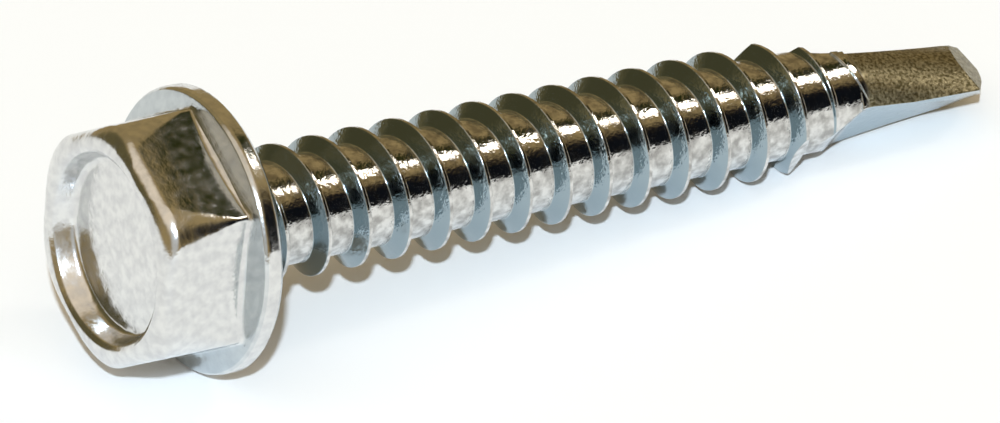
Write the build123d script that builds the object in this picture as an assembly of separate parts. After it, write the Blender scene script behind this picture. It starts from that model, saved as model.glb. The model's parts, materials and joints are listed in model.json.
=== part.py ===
from build123d import *
import math
import os

# A hex washer head self drilling screw, ST4.8 x 32, cold forged and rolled from one piece of steel wire.
# It is built on its own axis: bearing face of the flange at z = 0, head below it, drill point up at +z.
# At the end it is laid down the way it rests on a table, on the flange rim and the last turn of thread.

# ---------------------------------------------------------------- driving dimensions, mm and degrees
# Hex
ACROSS_FLATS = 7.94
HEAD_HEIGHT = 4.10            # bearing face to the rim round the dish
HEX_EDGE_ROUND = 0.18         # rounding of the six upright edges, at their foot
HEX_EDGE_FOOT = 0.40          # height over the flange up to which they stay that crisp
HEX_TOP_ROUND = 0.50          # forged rounding along the top edges
CORNER_ROUND_START = 1.80     # rounding of a corner in plan, where the top rounding starts
CORNER_ROUND_TOP = 3.30       # and on the top face, which gives the corners their ball shape
ROUNDING_STEPS = 3            # steps from section to section that form the top rounding
HEX_FOOT_ROUND = 0.30         # fillet between hex and flange

# Dish forged into the top of the head
RIM_WIDTH = 0.15              # flat left between dish and top rounding, over the middle of a side
DISH_DEPTH = 0.85
DISH_DRAFT = 0.30             # the dish is this much narrower at its floor
DISH_FLOOR_ROUND = 0.26
DISH_RIM_CHAMFER = 0.14

# Flange washer, forged in one with the head
FLANGE_OVERHANG = 0.316       # beyond the sharp corners of the hex
FLANGE_EDGE = 0.72            # thickness at the rim
FLANGE_RISE = 0.28            # the upper face climbs this much from the rim to the hex
FLANGE_TOP_ROUND = 0.30
FLANGE_BOTTOM_CHAMFER = 0.15
FLANGE_SEAM = 15.0            # direction of the revolved face's seam, clear of the hex corners
TURNED_STEPS = 3              # short cones that form a rounding of revolution

# Shank and spaced thread
LENGTH = 31.15                # bearing face to chisel edge
CORE_RADIUS = 1.80
NECK_ROUND = 0.55             # fillet under the head
PITCH = 1.60
CREST_RADIUS = 2.32
CREST_WIDTH = 0.12
FLANK_ANGLE = 30.0            # of each flank, from the plane square to the axis
THREAD_ROOT = 0.15            # depth in the core of the swept section
CREST_AT_X = 0.09             # z of the crest where its turn 0 crosses the +X side
FULL_FROM_TURN = 1.32         # the thread has its full height from this turn, counted from there,
THREAD_CLEAR = 8.26           # to this distance from the chisel edge
RUN_IN_TURNS = 0.85
RUN_OUT_TURNS = 1.00
RUN_SUNK = 0.03               # depth of the crest in the core where a run in or run out ends

# Drill point, pinch forged onto the end of the core. Its sections are symmetric by half a turn, about an
# axis that the forging dies left a little to one side.
POINT_OFFSET = 0.17          # of that axis, toward +Y
POINT_LENGTH = 5.95           # of the two forged lands, from the round core to the chisel edge
POINT_SPARE = 0.85            # the last section lies this far past the chisel edge, which trims it
LEAD_ANGLE = 15.1             # direction of the cutting corner from that axis, at the start
TRAIL_ANGLE = -54.5           # direction of the back corner of the same land
LEAD_CORNER = (2.04, 0.67)    # cutting corner in the last section, wider than the core
TRAIL_CORNER = (0.38, -0.70)  # back corner in the last section: the land is relieved behind the cut
LAND_BULGE = 0.14             # height of the land's arc over the line between these two
LAND_SPARE = 0.14             # the land runs on this far past both corners, and the flutes cut it back

# Flutes: a shallow start and a steeper run in, which bends softly into a hollow that runs on to the tip
FLUTE_LENGTH = 8.30           # of the flute on the +Y side, from leaving the core to the chisel edge
FLUTE_AHEAD = 0.85            # the other one starts this much nearer the head
FLUTE_START_SLOPE = 0.20      # how steeply the start slopes in
FLUTE_START_LENGTH = 1.50     # after which the steeper run in takes over
FLUTE_STEEP_SLOPE = 0.60
FLUTE_BOTTOM = 0.94           # distance of the hollow's bottom from the axis
FLUTE_BLEND = 0.05            # size of the soft bends between the three
FLUTE_FACING = 70.3           # direction that a flute faces where the lands start
FLUTE_TWIST = 2.80            # degrees that it turns per mm
FLUTE_HOLLOW = (11.0, 5.5)    # radius of the hollow, where the lands start and in the last section
FLUTE_SPARE = 0.85            # the cut starts this far before the flute leaves the core
FLUTE_SECTIONS = 19
FLUTE_HALF_WIDTH = 2.60       # of the cut, beyond both lands
FLUTE_REACH = 4.00            # of the cut, outside the screw

# Point: a blunt nose of revolution, and two relief planes that meet in the chisel edge
NOSE = [(0.0, 0.0), (0.50, 0.20), (1.04, 0.53), (2.03, 1.30), (3.20, 2.21)]
RELIEF_SLOPE = 1.237
RELIEF_DIRECTION = -40.0

# Raised seam where the rolled core meets a forged land
SEAM_HEIGHT = 0.06
SEAM_WIDTH = 0.25
SEAM_AHEAD = 0.18             # from the start of the lands toward the tip
SEAM_SLANT = 0.38             # rise in z per mm toward the cutting corner

# How it lies: direction of the table seen from the axis, counted from +X round to +Y
REST_SIDE = 122.5

# ---------------------------------------------------------------- sizes that follow from these
FLANGE_RADIUS = ACROSS_FLATS / 2 / math.cos(math.radians(30)) + FLANGE_OVERHANG
DISH_RIM_RADIUS = ACROSS_FLATS / 2 - HEX_TOP_ROUND - RIM_WIDTH
DISH_FLOOR_RADIUS = DISH_RIM_RADIUS - DISH_DRAFT
FULL_TO_TURN = (LENGTH - THREAD_CLEAR - CREST_AT_X) / PITCH
POINT_START = LENGTH - POINT_LENGTH
POINT_END = LENGTH + POINT_SPARE
FLUTE_START = LENGTH - FLUTE_LENGTH
FLUTE_STEEP_Z = FLUTE_START + FLUTE_START_LENGTH
SEAM_Z = POINT_START + SEAM_AHEAD


def polar(radius, angle):
    return (radius * math.cos(math.radians(angle)), radius * math.sin(math.radians(angle)))


def rounding(centre, radius, start, end):
    # points of an outline along a rounding, between two directions seen from its centre
    points = []
    for step in range(TURNED_STEPS + 1):
        x, z = polar(radius, start + (end - start) * step / TURNED_STEPS)
        points.append((centre[0] + x, centre[1] + z))
    return points


# ---------------------------------------------------------------- head
def hex_section(z, inset, corner_round):
    outline = RegularPolygon(ACROSS_FLATS / 2 - inset, 6, major_radius=False)
    return Pos(0, 0, z) * fillet(outline.vertices(), corner_round)


def make_hex():
    # each upright edge grows from its crisp foot into a ball shaped corner
    blend_foot = -FLANGE_EDGE - FLANGE_RISE - HEX_EDGE_FOOT
    rounding = []
    for step in range(ROUNDING_STEPS + 1):
        share = step / ROUNDING_STEPS
        angle = math.radians(90 * share)
        inset = HEX_TOP_ROUND * (1 - math.cos(angle))
        z = -HEAD_HEIGHT + HEX_TOP_ROUND * (1 - math.sin(angle))
        corner = CORNER_ROUND_START + (CORNER_ROUND_TOP - CORNER_ROUND_START) * share
        rounding.append(hex_section(z, inset, corner))
    upright = extrude(hex_section(blend_foot, 0, HEX_EDGE_ROUND), -blend_foot - FLANGE_EDGE)
    blend = loft([hex_section(blend_foot, 0, HEX_EDGE_ROUND), rounding[0]], ruled=True)
    return upright + blend + loft(rounding)


def make_flange():
    top = -FLANGE_EDGE - FLANGE_RISE
    slope = math.atan2(FLANGE_RISE, FLANGE_RADIUS - ACROSS_FLATS / 2)
    centre_z = -FLANGE_EDGE + FLANGE_TOP_ROUND * (1 - math.sin(slope)) / math.cos(slope)
    centre = (FLANGE_RADIUS - FLANGE_TOP_ROUND, centre_z)
    outline = [(0, 0), (FLANGE_RADIUS - FLANGE_BOTTOM_CHAMFER, 0), (FLANGE_RADIUS, -FLANGE_BOTTOM_CHAMFER)]
    outline += rounding(centre, FLANGE_TOP_ROUND, 0, math.degrees(slope) - 90)
    outline += [(ACROSS_FLATS / 2, top), (0, top)]
    profile = make_face(Plane.XZ * Polyline(*outline, close=True))
    return Rot(0, 0, FLANGE_SEAM) * revolve(profile, Axis.Z)


def is_foot_edge(edge):
    centre = edge.center()
    reach = math.hypot(centre.X, centre.Y)
    level = -FLANGE_EDGE - FLANGE_RISE - 0.02 < centre.Z < -FLANGE_EDGE + 0.02
    on_hex = ACROSS_FLATS / 2 - 0.1 < reach < ACROSS_FLATS / 2 * 1.17
    return level and on_hex and abs(edge.tangent_at(0.5).Z) < 0.3


def make_dish():
    top = -HEAD_HEIGHT
    floor = top + DISH_DEPTH
    spare = 1.0
    wide = DISH_RIM_RADIUS + spare * (DISH_RIM_RADIUS - DISH_FLOOR_RADIUS) / DISH_DEPTH
    outline = Polyline(
        (0, top - spare),
        (wide, top - spare),
        (DISH_FLOOR_RADIUS, floor),
        (0, floor),
        close=True,
    )
    profile = make_face(Plane.XZ * outline)
    foot = profile.vertices().filter_by(lambda v: abs(v.X - DISH_FLOOR_RADIUS) < 0.001)
    profile = fillet(foot, DISH_FLOOR_ROUND)
    return revolve(profile, Axis.Z)


def make_head():
    head = make_hex() + make_flange()
    head = fillet(head.edges().filter_by(is_foot_edge), HEX_FOOT_ROUND)
    head -= make_dish()
    rim = head.edges().filter_by(GeomType.CIRCLE)
    rim = rim.filter_by(lambda e: abs(e.center().Z + HEAD_HEIGHT) < 0.001)
    return chamfer(rim.filter_by(lambda e: abs(e.radius - DISH_RIM_RADIUS) < 0.01), DISH_RIM_CHAMFER)


# ---------------------------------------------------------------- shank and thread
def make_core():
    inside = -FLANGE_EDGE
    neck = (CORE_RADIUS + NECK_ROUND, NECK_ROUND)
    outline = [(0, inside), (CORE_RADIUS + NECK_ROUND, inside)]
    outline += rounding(neck, NECK_ROUND, -90, -180)
    outline += [(CORE_RADIUS, POINT_START), (0, POINT_START)]
    return revolve(make_face(Plane.XZ * Polyline(*outline, close=True)), Axis.Z)


def thread_section():
    # x is measured from the core outwards, y along the screw
    height = CREST_RADIUS - CORE_RADIUS
    crest = CREST_WIDTH / 2
    root = crest + (height + THREAD_ROOT) * math.tan(math.radians(FLANK_ANGLE))
    outline = Polyline(
        (height, crest),
        (height, -crest),
        (-THREAD_ROOT, -root),
        (-THREAD_ROOT, root),
        close=True,
    )
    return Pos(CORE_RADIUS, 0, 0) * make_face(Plane.XZ * outline)


def at_turn(turn):
    return Pos(0, 0, CREST_AT_X + PITCH * turn) * Rot(0, 0, 360 * turn)


def thread_run(turns):
    # from full height down into the core, going up and round from +X
    fall = CREST_RADIUS - CORE_RADIUS + RUN_SUNK
    cone = math.degrees(math.atan2(fall, PITCH * turns))
    path = Helix(PITCH, PITCH * turns, CORE_RADIUS, cone_angle=-cone)
    return sweep(thread_section(), path, is_frenet=True)


def full_thread(from_turn, to_turn):
    path = Helix(PITCH, PITCH * (to_turn - from_turn), CORE_RADIUS)
    return at_turn(from_turn) * sweep(thread_section(), path, is_frenet=True)


def make_thread():
    # the last turn, which the flutes cut into, is swept on its own
    last = FULL_TO_TURN - 1
    return [
        at_turn(FULL_FROM_TURN) * Rot(180, 0, 0) * thread_run(RUN_IN_TURNS),
        full_thread(FULL_FROM_TURN, last),
        full_thread(last, FULL_TO_TURN),
        at_turn(FULL_TO_TURN) * thread_run(RUN_OUT_TURNS),
    ]


# ---------------------------------------------------------------- drill point
def between(start, end, share):
    return start + (end - start) * share


def point_section(z, lead, trail, bulge):
    chord = math.hypot(lead[0] - trail[0], lead[1] - trail[1])
    radius = (chord**2 / 4 + bulge**2) / (2 * bulge)
    out = ((lead[1] - trail[1]) / chord, (trail[0] - lead[0]) / chord)
    centre = [(lead[i] + trail[i]) / 2 - (radius - bulge) * out[i] for i in (0, 1)]
    facing = math.degrees(math.atan2(out[1], out[0]))
    half = math.degrees(math.asin(chord / 2 / radius) + LAND_SPARE / radius)
    near = []
    for angle in (facing + half, facing, facing - half):
        x, y = polar(radius, angle)
        near.append((centre[0] + x, centre[1] + y))
    far = [(-x, -y) for x, y in near]
    edges = [
        ThreePointArc(*near),
        Line(near[2], far[0]),
        ThreePointArc(*far),
        Line(far[2], near[0]),
    ]
    return Pos(0, 0, z) * make_face(Wire(edges))


def make_point():
    lead = polar(CORE_RADIUS, LEAD_ANGLE)
    trail = polar(CORE_RADIUS, TRAIL_ANGLE)
    round_bulge = CORE_RADIUS * (1 - math.cos(math.radians(LEAD_ANGLE - TRAIL_ANGLE) / 2))
    first = point_section(POINT_START, lead, trail, round_bulge)
    last = point_section(POINT_END, LEAD_CORNER, TRAIL_CORNER, LAND_BULGE)
    lands = loft([first, last], ruled=True)
    below = POINT_START - 1
    outline = [(radius, LENGTH - drop) for radius, drop in NOSE]
    outline += [(NOSE[-1][0], below), (0, below)]
    nose = revolve(make_face(Plane.XZ * Polyline(*outline, close=True)), Axis.Z)
    reach = 2 * NOSE[-1][0]
    roof_foot = LENGTH - reach * RELIEF_SLOPE
    outline = [(-reach, roof_foot), (0, LENGTH), (reach, roof_foot), (reach, below), (-reach, below)]
    roof = extrude(make_face(Plane.XZ * Polyline(*outline, close=True)), reach, both=True)
    return Pos(0, POINT_OFFSET, 0) * (lands & nose & (Rot(0, 0, RELIEF_DIRECTION) * roof))


def soft_bend(first, second, sign):
    # the greater (sign 1) or the smaller (sign -1) of the two, with a soft bend where they cross
    return (first + second) / 2 + sign * math.hypot((first - second) / 2, FLUTE_BLEND)


def flute_bottom(z, ahead):
    start = CORE_RADIUS - (z + ahead - FLUTE_START) * FLUTE_START_SLOPE
    steep_from = CORE_RADIUS - (FLUTE_STEEP_Z - FLUTE_START) * FLUTE_START_SLOPE
    steep = steep_from - (z + ahead - FLUTE_STEEP_Z) * FLUTE_STEEP_SLOPE
    return soft_bend(soft_bend(start, steep, -1), FLUTE_BOTTOM, 1)


def flute_section(z, ahead):
    bottom = flute_bottom(z, ahead)
    hollow = between(*FLUTE_HOLLOW, (z - POINT_START) / (POINT_END - POINT_START))
    facing = FLUTE_FACING + (z - POINT_START) * FLUTE_TWIST
    edge = bottom + hollow - math.sqrt(hollow**2 - FLUTE_HALF_WIDTH**2)
    edges = [
        ThreePointArc((edge, -FLUTE_HALF_WIDTH), (bottom, 0), (edge, FLUTE_HALF_WIDTH)),
        Line((edge, FLUTE_HALF_WIDTH), (FLUTE_REACH, FLUTE_HALF_WIDTH)),
        Line((FLUTE_REACH, FLUTE_HALF_WIDTH), (FLUTE_REACH, -FLUTE_HALF_WIDTH)),
        Line((FLUTE_REACH, -FLUTE_HALF_WIDTH), (edge, -FLUTE_HALF_WIDTH)),
    ]
    return Pos(0, 0, z) * Rot(0, 0, facing) * make_face(Wire(edges))


def make_flute(ahead):
    first = FLUTE_START - FLUTE_SPARE - ahead
    step = (POINT_END - first) / (FLUTE_SECTIONS - 1)
    return loft([flute_section(first + step * i, ahead) for i in range(FLUTE_SECTIONS)])


def make_flutes():
    return [
        Pos(0, POINT_OFFSET, 0) * make_flute(0),
        Pos(0, POINT_OFFSET, 0) * Rot(0, 0, 180) * make_flute(FLUTE_AHEAD),
    ]


def make_seams():
    reach = CORE_RADIUS + 1
    foot = SEAM_Z - SEAM_WIDTH / 2
    outline = Polyline(
        (-reach, foot - reach * SEAM_SLANT),
        (reach, foot + reach * SEAM_SLANT),
        (reach, foot + SEAM_WIDTH + reach * SEAM_SLANT),
        (-reach, foot + SEAM_WIDTH - reach * SEAM_SLANT),
        close=True,
    )
    slab = extrude(make_face(Plane.YZ * outline), reach)
    ring = Pos(0, 0, SEAM_Z) * Cylinder(CORE_RADIUS + SEAM_HEIGHT, 2 * reach)
    seam = slab & ring
    return [seam, Rot(0, 0, 180) * seam]


# ---------------------------------------------------------------- rest
def rest_tilt():
    # the line from the edge of the flange rim to the last crest on the table's side
    turn = math.floor(FULL_TO_TURN) + REST_SIDE / 360
    lost = (CREST_RADIUS - CORE_RADIUS + RUN_SUNK) * max(0, turn - FULL_TO_TURN) / RUN_OUT_TURNS
    crest_z = CREST_AT_X + PITCH * turn + CREST_WIDTH / 2
    fall = FLANGE_RADIUS - (CREST_RADIUS - lost)
    run = crest_z + FLANGE_BOTTOM_CHAMFER
    return math.degrees(math.atan2(fall, run))


def lay_down(shape):
    shape = Rot(0, 90 + rest_tilt(), 0) * Rot(0, 0, -REST_SIDE) * shape
    box = shape.bounding_box()
    middle = box.center()
    return Pos(-middle.X, -middle.Y, -box.min.Z) * shape


# ---------------------------------------------------------------- the one solid
screw = make_head() + make_core()
screw += make_thread()
screw += make_seams()
screw += make_point()
screw -= make_flutes()
screw = lay_down(screw)

os.makedirs("parts", exist_ok=True)
export_step(screw, "parts/self_drilling_screw.step")
print("solids", len(screw.solids()), "volume mm3", round(screw.volume, 1), "rest tilt", round(rest_tilt(), 2))
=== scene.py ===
# %% [markdown]
# # Self drilling screw
# A hex washer head self drilling screw, ST4.8 x 32, lies on a pale table. It is one piece of steel: a wire
# blank whose head was cold forged, whose thread was rolled and whose drill point was pinched between two
# dies. It then got a thin bright zinc plating. The CAD node brings the whole form, so this lesson is about
# the camera, the plated metal and the light that such a shiny little thing mirrors.

import json
import math

import bpy
from mathutils import Matrix, Vector

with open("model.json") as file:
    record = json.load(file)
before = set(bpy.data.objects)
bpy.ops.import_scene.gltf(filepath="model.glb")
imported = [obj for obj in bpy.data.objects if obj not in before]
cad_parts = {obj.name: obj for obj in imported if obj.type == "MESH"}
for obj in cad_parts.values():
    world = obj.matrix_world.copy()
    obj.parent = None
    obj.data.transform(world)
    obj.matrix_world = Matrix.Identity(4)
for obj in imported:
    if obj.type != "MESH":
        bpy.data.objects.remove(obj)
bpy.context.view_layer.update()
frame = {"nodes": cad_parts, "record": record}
screw = frame["nodes"]["self_drilling_screw"]
print("screw has", len(screw.data.polygons), "facets")

# %% [markdown]
# ## The screw's own axis
# The screw lies a little nose down, on the rim of its flange and on the last turn of its thread. Camera and
# finish are both easier to set out from the screw's own axis, which the record's bearing face gives: the
# point it names is 3.5 mm above the axis, and its normal runs from the head to the drill point.

# %% Axis and bearing plane
MM = 0.001
POINT_ABOVE_AXIS = 3.5 * MM

bearing = next(m for m in frame["record"]["mounts"] if m["name"] == "bearing_face")
along = Vector(bearing["axis"]).normalized()
above = Vector((-along.z, 0, along.x))
bearing_centre = Vector(bearing["pos_m"]) - POINT_ABOVE_AXIS * above
print("axis from head to point", tuple(round(c, 4) for c in along))
print("bearing centre mm", tuple(round(c / MM, 3) for c in bearing_centre))

# %% [markdown]
# ## Camera
# A long lens looks down on the table from the front left, at about 31 degrees, so that the head faces the
# viewer and the drill point runs away to the right. Directions are counted from the camera's own side, and
# one small function turns them into vectors. The lamps and the room use it again.

# %% Line of sight
ELEVATION = 31.01
AZIMUTH = -122.61             # direction from the screw to the camera, counted from +X
ROLL = 0.019


def heading(beside_camera_deg, elevation_deg):
    """Unit vector away from the screw; beside_camera_deg is positive to the camera's right."""
    around = math.radians(AZIMUTH + beside_camera_deg)
    height = math.radians(elevation_deg)
    return Vector((
        math.cos(height) * math.cos(around),
        math.cos(height) * math.sin(around),
        math.sin(height),
    ))


toward_camera = heading(0, ELEVATION)
level_right = heading(90, 0)
right = Matrix.Rotation(math.radians(ROLL), 3, toward_camera) @ level_right
up = toward_camera.cross(right)
print("toward the camera", tuple(round(c, 3) for c in toward_camera))

# %% Camera
DISTANCE = 500 * MM           # from the bearing plane's centre, along the line of sight
PIXELS = (1000, 423)
CENTRE_PIXEL = (206.41, 227.71)
PIXELS_PER_MM = 30.095        # at that distance
SENSOR = 36.0                 # width in mm
NEAREST_SEEN = 10 * MM
FARTHEST_SEEN = 10000 * MM

camera_data = bpy.data.cameras.new("camera")
camera = bpy.data.objects.new("camera", camera_data)
bpy.context.scene.collection.objects.link(camera)
camera_data.sensor_width = SENSOR
camera_data.lens = PIXELS_PER_MM * DISTANCE / MM / PIXELS[0] * SENSOR
camera_data.clip_start = NEAREST_SEEN
camera_data.clip_end = FARTHEST_SEEN
aside = (CENTRE_PIXEL[0] - PIXELS[0] / 2) / PIXELS_PER_MM * MM
below = (CENTRE_PIXEL[1] - PIXELS[1] / 2) / PIXELS_PER_MM * MM
place = bearing_centre + DISTANCE * toward_camera - aside * right + below * up
turned = Matrix((right, up, toward_camera)).transposed().to_4x4()
camera.matrix_world = Matrix.Translation(place) @ turned
bpy.context.scene.camera = camera
print("camera mm", tuple(round(c / MM, 1) for c in place), "lens", round(camera_data.lens, 1))

# %% [markdown]
# ## Helpers for the finishes
# Colours are written as sRGB hex and turned into linear values by one function, and one small function adds
# a shader node. Every pattern is set out in millimetres, from the object's own coordinates.

# %% Colour and node helpers
def linear(hex_colour):
    """Linear red, green, blue and alpha of an sRGB hex colour."""
    channels = [int(hex_colour[i:i + 2], 16) / 255 for i in (1, 3, 5)]
    return tuple(c / 12.92 if c <= 0.04045 else ((c + 0.055) / 1.055) ** 2.4 for c in channels) + (1.0,)


def add_node(tree, kind, settings=None, inputs=None):
    """One shader node; an input that is itself an output socket is linked, anything else is set."""
    node = tree.nodes.new(kind)
    for name, value in (settings or {}).items():
        setattr(node, name, value)
    for name, value in (inputs or {}).items():
        if isinstance(value, bpy.types.NodeSocket):
            tree.links.new(value, node.inputs[name])
        else:
            node.inputs[name].default_value = value
    return node


def new_material(name):
    """A material with nodes, its node tree and its main shader."""
    material = bpy.data.materials.new(name)
    material.use_nodes = True
    return material, material.node_tree, material.node_tree.nodes["Principled BSDF"]


print("mid grey #808080 is", round(linear("#808080")[0], 3), "in linear light")

# %% [markdown]
# ## Where things are on the screw
# The finish changes along the screw: the forged head and the drill point are duller than the rolled thread.
# It also changes with the way that a face looks. The flanks of the thread, the flutes and the flange's faces
# get a darker blue grey than the core and the crests: painted shade that stands for the shadowed table which
# they mirror. Painting masks by hand would do, but distance along the axis and direction tell all of these
# apart, so the material works them out itself.

# %% Material with the distance along the axis
plating, tree, shader = new_material("bright_zinc_plating")
place_on_screw = add_node(tree, "ShaderNodeTexCoord").outputs["Object"]
from_bearing = add_node(
    tree, "ShaderNodeVectorMath", {"operation": "SUBTRACT"}, {0: place_on_screw, 1: bearing_centre}
).outputs["Vector"]
distance_along = add_node(
    tree, "ShaderNodeVectorMath", {"operation": "DOT_PRODUCT"}, {0: from_bearing, 1: along}
).outputs["Value"]
print("distance along the axis is 0 at", tuple(round(c / MM, 2) for c in bearing_centre))

# %% Shares of head and drill point
FLANGE_UNDERSIDE = 0.0 * MM
POINT_START = 25.4 * MM
FADE = 0.1 * MM               # a zone fades out this far before and after its end

head_share = add_node(
    tree, "ShaderNodeMapRange", {},
    {"Value": distance_along, "From Min": FLANGE_UNDERSIDE + FADE, "From Max": FLANGE_UNDERSIDE - FADE},
).outputs["Result"]
point_share = add_node(
    tree, "ShaderNodeMapRange", {},
    {"Value": distance_along, "From Min": POINT_START - FADE, "From Max": POINT_START + FADE},
).outputs["Result"]
print("head before", FLANGE_UNDERSIDE / MM, "mm, drill point after", POINT_START / MM, "mm")

# %% Shares by direction
FLANK_COSINES = (0.45, 0.75)  # to the axis: below the first no flank, above the second all flank
FLUTE_COSINES = (0.7, 0.85)   # the same for a flute, to the way that the flute faces
FLUTE_TURNED = 41             # degrees from straight up that the upper flute faces, toward +Y

surface_direction = add_node(tree, "ShaderNodeTexCoord").outputs["Normal"]


def facing_share(direction, cosines):
    """How much the surface faces that direction or the opposite one, from 0 to 1."""
    cosine = add_node(
        tree, "ShaderNodeVectorMath", {"operation": "DOT_PRODUCT"}, {0: surface_direction, 1: direction}
    ).outputs["Value"]
    either_way = add_node(tree, "ShaderNodeMath", {"operation": "ABSOLUTE"}, {0: cosine}).outputs["Value"]
    return add_node(
        tree, "ShaderNodeMapRange", {}, {"Value": either_way, "From Min": cosines[0], "From Max": cosines[1]}
    ).outputs["Result"]


flute_turn = math.radians(FLUTE_TURNED)
flute_direction = math.cos(flute_turn) * above + math.sin(flute_turn) * Vector((0, 1, 0))
along_axis_share = facing_share(along, FLANK_COSINES)
like_flute_share = facing_share(flute_direction, FLUTE_COSINES)
print("flutes face", tuple(round(c, 2) for c in flute_direction), "and the opposite way")

# %% Shares of flanks, flutes and flange
FLANGE_PAINTED_SHADE = 0.5             # the flange has this share of the flanks' painted shade
FLANGE_PAINTED_SHADE_FROM = -1.4 * MM  # the painted shade starts here, above the foot of the hex
FLANGE_PAINTED_SHADE_FULL = -1.2 * MM

beyond_head = add_node(
    tree, "ShaderNodeMath", {"operation": "SUBTRACT"}, {0: 1.0, 1: head_share}
).outputs["Value"]
# Painted shade: these shares mark the flanks, the flutes and the flange's face for a darker blue grey that
# stands for the shadowed table they mirror.
flank_share = add_node(
    tree, "ShaderNodeMath", {"operation": "MULTIPLY"}, {0: beyond_head, 1: along_axis_share}
).outputs["Value"]
flute_share = add_node(
    tree, "ShaderNodeMath", {"operation": "MULTIPLY"}, {0: point_share, 1: like_flute_share}
).outputs["Value"]
near_flange = add_node(
    tree, "ShaderNodeMapRange", {},
    {
        "Value": distance_along,
        "From Min": FLANGE_PAINTED_SHADE_FROM,
        "From Max": FLANGE_PAINTED_SHADE_FULL,
        "To Max": FLANGE_PAINTED_SHADE,
    },
).outputs["Result"]
flange_share = add_node(
    tree, "ShaderNodeMath", {"operation": "MULTIPLY"}, {0: near_flange, 1: along_axis_share}
).outputs["Value"]
# Painted shade: the flange's face takes this share of the flanks' darker blue grey.
print("flange has", FLANGE_PAINTED_SHADE, "of the flanks' film")

# %% Shares of painted shade and of sandy lands
flank_or_flute_share = add_node(
    tree, "ShaderNodeMath", {"operation": "MAXIMUM"}, {0: flank_share, 1: flute_share}
).outputs["Value"]
# Painted shade: the darker blue grey of flanks, flutes and the flange's face, standing for the shadowed
# table that they mirror.
painted_shade_share = add_node(
    tree, "ShaderNodeMath", {"operation": "MAXIMUM"}, {0: flank_or_flute_share, 1: flange_share}
).outputs["Value"]
sandy_share = add_node(
    tree, "ShaderNodeMath", {"operation": "SUBTRACT"}, {0: point_share, 1: flute_share}
).outputs["Value"]
print("nodes so far", len(tree.nodes))

# %% [markdown]
# ## Bright zinc plating
# Zinc of a few micrometres copies what lies under it. The rolled core and crests stay mirror bright, which
# gives the eye small hard lights beside near black. The forged head is a little duller, and the drill point
# is sandy. Three patterns of real size break up the mirror: soft dents of about a millimetre from the dies,
# a mottle of a third of a millimetre where the plating has run, and a fine grain, strong on the drill
# point's lands where the dies pinched them and weak elsewhere.

# %% Patterns
DENT_SIZE = 1.1 * MM
MOTTLE_SIZE = 0.33 * MM
GRAIN_SIZE = 0.11 * MM

# each noise has its size and its detail, the number of finer layers that it carries
dents, mottle, grain = [
    add_node(
        tree, "ShaderNodeTexNoise", {}, {"Vector": place_on_screw, "Scale": 1 / size, "Detail": detail}
    ).outputs["Fac"]
    for size, detail in ((DENT_SIZE, 1.0), (MOTTLE_SIZE, 3.0), (GRAIN_SIZE, 2.0))
]
print("pattern sizes mm", DENT_SIZE / MM, MOTTLE_SIZE / MM, GRAIN_SIZE / MM)

# %% Roughness
ROLLED_ROUGHNESS = 0.11
HEAD_ROUGHNESS = 0.15
POINT_ROUGHNESS = 0.42
MOTTLE_ROUGHNESS = 0.06       # it rises and falls by this from spot to spot
MOTTLE_LOW = 0.3              # nearly all of the mottle's values lie between these two
MOTTLE_HIGH = 0.7

rolled_or_head = add_node(
    tree, "ShaderNodeMapRange", {},
    {"Value": head_share, "To Min": ROLLED_ROUGHNESS, "To Max": HEAD_ROUGHNESS},
).outputs["Result"]
toward_point = add_node(
    tree, "ShaderNodeMapRange", {},
    {"Value": sandy_share, "To Min": 0.0, "To Max": POINT_ROUGHNESS - ROLLED_ROUGHNESS},
).outputs["Result"]
spots = add_node(
    tree, "ShaderNodeMapRange", {},
    {
        "Value": mottle,
        "From Min": MOTTLE_LOW,
        "From Max": MOTTLE_HIGH,
        "To Min": -MOTTLE_ROUGHNESS,
        "To Max": MOTTLE_ROUGHNESS,
    },
).outputs["Result"]
even_roughness = add_node(
    tree, "ShaderNodeMath", {"operation": "ADD"}, {0: rolled_or_head, 1: toward_point}
).outputs["Value"]
roughness = add_node(
    tree, "ShaderNodeMath", {"operation": "ADD", "use_clamp": True}, {0: even_roughness, 1: spots}
).outputs["Value"]
tree.links.new(roughness, shader.inputs["Roughness"])
print("roughness", ROLLED_ROUGHNESS, HEAD_ROUGHNESS, POINT_ROUGHNESS)

# %% Soft edges
ROLLED_SOFTNESS = 0.06 * MM   # plating rounds the crest and the root of the thread this much
HEAD_SOFTNESS = 0.12 * MM     # the forging die rounds the edges of the head more
EDGE_SAMPLES = 8

softness = add_node(
    tree, "ShaderNodeMapRange", {},
    {"Value": head_share, "To Min": ROLLED_SOFTNESS, "To Max": HEAD_SOFTNESS},
).outputs["Result"]
soft_edges = add_node(
    tree, "ShaderNodeBevel", {"samples": EDGE_SAMPLES}, {"Radius": softness}
).outputs["Normal"]
print("edges look rounded by", ROLLED_SOFTNESS / MM, "mm, and by", HEAD_SOFTNESS / MM, "mm on the head")

# %% Bulged flats and flatter flange
BULGE_DEPTH = 0.05 * MM       # the hex flats stand proud by this much half way up
BULGE_MIDDLE = -2.5 * MM
BULGE_REACH = 1.4 * MM
FLANGE_TOP_AT = -1.0 * MM     # where the flange starts to fall away from the hex
FLANGE_RIM_AT = -0.72 * MM    # and where its rim begins
FLATTENED = 0.75              # share of that fall which the shading takes away again

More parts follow.
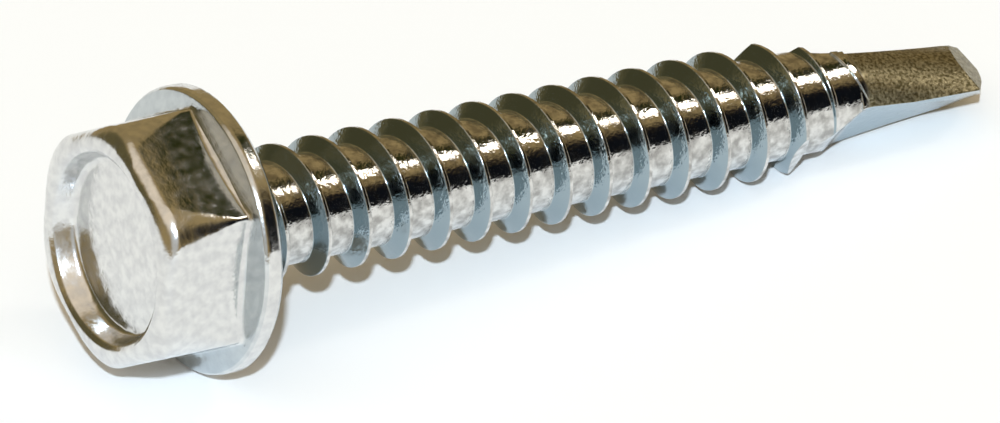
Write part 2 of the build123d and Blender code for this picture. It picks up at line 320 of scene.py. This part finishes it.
from_middle = add_node(
    tree, "ShaderNodeMapRange", {"clamp": False},
    {"Value": distance_along, "From Min": BULGE_MIDDLE, "From Max": BULGE_MIDDLE + BULGE_REACH},
).outputs["Result"]
hollowing = add_node(
    tree, "ShaderNodeMath", {"operation": "MULTIPLY"}, {0: from_middle, 1: from_middle}
).outputs["Value"]
bulged = add_node(
    tree, "ShaderNodeBump", {"invert": True},
    {"Height": hollowing, "Distance": BULGE_DEPTH, "Strength": head_share, "Normal": soft_edges},
).outputs["Normal"]
flange_fall = add_node(
    tree, "ShaderNodeMapRange", {},
    {"Value": distance_along, "From Min": FLANGE_TOP_AT, "From Max": FLANGE_RIM_AT},
).outputs["Result"]
flattened = add_node(
    tree, "ShaderNodeBump", {},
    {"Height": flange_fall, "Distance": FLATTENED * (FLANGE_RIM_AT - FLANGE_TOP_AT), "Normal": bulged},
).outputs["Normal"]
print("hex flats bulge by", BULGE_DEPTH / MM, "mm")

# %% Dents, mottle and grain
DENT_DEPTH = 0.016 * MM
MOTTLE_DEPTH = 0.011 * MM
GRAIN_DEPTH = 0.020 * MM      # on the sandy lands of the drill point
ROLLED_GRAIN = 0.45           # the thread has this share of the lands' grain
HEAD_GRAIN = 0.08             # and the head this share

dented = add_node(
    tree, "ShaderNodeBump", {}, {"Height": dents, "Distance": DENT_DEPTH, "Normal": flattened}
).outputs["Normal"]
mottled = add_node(
    tree, "ShaderNodeBump", {}, {"Height": mottle, "Distance": MOTTLE_DEPTH, "Normal": dented}
).outputs["Normal"]
rolled_or_head_grain = add_node(
    tree, "ShaderNodeMapRange", {}, {"Value": head_share, "To Min": ROLLED_GRAIN, "To Max": HEAD_GRAIN}
).outputs["Result"]
grain_share = add_node(
    tree, "ShaderNodeMath", {"operation": "MAXIMUM"}, {0: rolled_or_head_grain, 1: sandy_share}
).outputs["Value"]
sandy = add_node(
    tree, "ShaderNodeBump", {},
    {"Height": grain, "Distance": GRAIN_DEPTH, "Strength": grain_share, "Normal": mottled},
).outputs["Normal"]
tree.links.new(sandy, shader.inputs["Normal"])
print("relief mm", DENT_DEPTH / MM, MOTTLE_DEPTH / MM, GRAIN_DEPTH / MM)

# %% Colour of head and thread
HEAD_ZINC = "#E2E3E2"
HEAD_SPOTS = "#D0D1D2"
ROLLED_ZINC = "#DDDDDB"
ROLLED_SPOTS = "#A4A3A1"
PAINTED_SHADE_ZINC = "#9DABB1"         # painted shade: darker blue grey for flanks, flutes and flange
PATCH_LOW = 0.35              # noise values at which one colour is full, and the other
PATCH_HIGH = 0.65

patches = add_node(
    tree, "ShaderNodeMapRange", {}, {"Value": mottle, "From Min": PATCH_LOW, "From Max": PATCH_HIGH}
).outputs["Result"]
head_tint = add_node(
    tree, "ShaderNodeMixRGB", {},
    {"Fac": patches, "Color1": linear(HEAD_ZINC), "Color2": linear(HEAD_SPOTS)},
).outputs["Color"]
rolled_tint = add_node(
    tree, "ShaderNodeMixRGB", {},
    {"Fac": patches, "Color1": linear(ROLLED_ZINC), "Color2": linear(ROLLED_SPOTS)},
).outputs["Color"]
tint_before_shade = add_node(
    tree, "ShaderNodeMixRGB", {}, {"Fac": head_share, "Color1": rolled_tint, "Color2": head_tint}
).outputs["Color"]
# Painted shade: flanks, flutes and the flange's face turn to the darker blue grey, which stands for the
# shadowed table they mirror.
painted_shade_tint = add_node(
    tree, "ShaderNodeMixRGB", {}, {"Fac": painted_shade_share, "Color1": tint_before_shade, "Color2": linear(PAINTED_SHADE_ZINC)}
).outputs["Color"]
print("zinc", HEAD_ZINC, ROLLED_ZINC, "and under the film", PAINTED_SHADE_ZINC)

# %% Colour of the drill point
# Partly painted reflection: the point's darker olive tan stands in part for the dark olive room that its
# lands mirror, and in part for their dull sandy surface. The darker spots follow the grain.
POINT_ZINC = "#B0A88C"
POINT_PITS = "#665F45"

pits = add_node(
    tree, "ShaderNodeMapRange", {}, {"Value": grain, "From Min": PATCH_LOW, "From Max": PATCH_HIGH}
).outputs["Result"]
sandy_tint = add_node(
    tree, "ShaderNodeMixRGB", {},
    {"Fac": pits, "Color1": linear(POINT_PITS), "Color2": linear(POINT_ZINC)},
).outputs["Color"]
whole_tint = add_node(
    tree, "ShaderNodeMixRGB", {}, {"Fac": sandy_share, "Color1": painted_shade_tint, "Color2": sandy_tint}
).outputs["Color"]
tree.links.new(whole_tint, shader.inputs["Base Color"])
shader.inputs["Metallic"].default_value = 1.0
screw.data.materials.clear()
screw.data.materials.append(plating)
print("plating on", screw.name, "with", len(tree.nodes), "nodes")

# %% [markdown]
# ## Table
# A matt white board, much larger than the screw. The metal mirrors it from below, which makes the lower half
# of the screw silver white. The board itself gives the eye only soft shadows and no mirror image.

# %% Table
TABLE_SIZE = 600 * MM
TABLE_WHITE = "#FDFDFD"
TABLE_ROUGHNESS = 0.8
TABLE_SHEEN = 0.2             # well under the usual 0.5, so that it has no glare

bpy.ops.object.select_all(action="DESELECT")
bpy.ops.mesh.primitive_plane_add(size=TABLE_SIZE, location=(0, 0, 0))
table = bpy.context.object
table.name = "table"
board, _, board_shader = new_material("pale_board")
board_shader.inputs["Base Color"].default_value = linear(TABLE_WHITE)
board_shader.inputs["Roughness"].default_value = TABLE_ROUGHNESS
board_shader.inputs["Specular IOR Level"].default_value = TABLE_SHEEN
table.data.materials.append(board)
print("table", tuple(round(d, 3) for d in table.dimensions))

# %% [markdown]
# ## Lamps
# Two small soft lamps: a cool one just above the camera gives the short crisp shadow, and a faint warm one
# high on the right draws the bright marks on the thread. A soft lamp of the wanted size could be a mesh that
# glows, but a disk light is easier to aim and renders with less grain.

# %% Lamps
AIM_HEIGHT = 4 * MM           # the lamps aim at about the middle of the screw


def soft_lamp(name, beside_camera_deg, elevation_deg, distance, size, floor_light, colour):
    """A disk lamp aimed at the screw; floor_light is how bright it makes a white table, 1 being white."""
    direction = heading(beside_camera_deg, elevation_deg)
    light = bpy.data.lights.new(name, "AREA")
    light.shape = "DISK"
    light.size = size
    light.energy = floor_light * (math.pi * distance) ** 2 / math.sin(math.radians(elevation_deg))
    light.color = linear(colour)[:3]
    lamp = bpy.data.objects.new(name, light)
    bpy.context.scene.collection.objects.link(lamp)
    lamp.location = Vector((0, 0, AIM_HEIGHT)) + distance * direction
    lamp.rotation_euler = direction.to_track_quat("Z", "Y").to_euler()


soft_lamp(
    "cool_front_lamp", beside_camera_deg=-0.5, elevation_deg=39.2,
    distance=1500 * MM, size=54 * MM, floor_light=0.69, colour="#DFF0FF",
)
soft_lamp(
    "warm_right_lamp", beside_camera_deg=107, elevation_deg=48,
    distance=450 * MM, size=85 * MM, floor_light=0.06, colour="#FFF6E8",
)

# %% [markdown]
# ## Room
# Polished metal shows what stands around it, so the room matters more than its light: a cream ceiling high
# over the camera's side, a pale wall behind the camera, brown walls elsewhere, and three darker places, one
# at the left and two at the right. Panels could be modelled, but a sky that changes with direction does it
# with a few soft spots.

# %% Room
WALL = "#A99264"
CEILING = "#FFEDD4"
NEAR_WALL = "#D4D2CC"
DARK_LEFT = "#6A6040"
DARK_RIGHT = "#12151A"
DARK_FAR_RIGHT = "#2A2E10"
ROOM_STRENGTH = 0.85

world = bpy.data.worlds.new("room")
bpy.context.scene.world = world
world.use_nodes = True
room_tree = world.node_tree
looking = add_node(room_tree, "ShaderNodeTexCoord").outputs["Generated"]
colour = linear(WALL)
# each place has its colour, the way to its middle, and the angles at which it has faded out and is full
for place_colour, place_heading, faded_deg, full_deg in (
    (CEILING, heading(-15, 60), 46, 30),
    (NEAR_WALL, heading(-5, 18), 30, 12),
    (DARK_LEFT, heading(-100, 16), 36, 18),
    (DARK_RIGHT, heading(70, 16), 30, 14),
    (DARK_FAR_RIGHT, heading(124, 44), 18, 9),
):
    nearness = add_node(
        room_tree, "ShaderNodeVectorMath", {"operation": "DOT_PRODUCT"}, {0: looking, 1: place_heading}
    ).outputs["Value"]
    share = add_node(
        room_tree, "ShaderNodeMapRange", {"interpolation_type": "SMOOTHSTEP"},
        {
            "Value": nearness,
            "From Min": math.cos(math.radians(faded_deg)),
            "From Max": math.cos(math.radians(full_deg)),
        },
    ).outputs["Result"]
    colour = add_node(
        room_tree, "ShaderNodeMixRGB", {}, {"Fac": share, "Color1": colour, "Color2": linear(place_colour)}
    ).outputs["Color"]
background = room_tree.nodes["Background"]
room_tree.links.new(colour, background.inputs["Color"])
background.inputs["Strength"].default_value = ROOM_STRENGTH
print("room", WALL, CEILING, NEAR_WALL, DARK_LEFT, DARK_RIGHT, DARK_FAR_RIGHT)

# %% Finish
bpy.context.scene.view_settings.view_transform = "Standard"
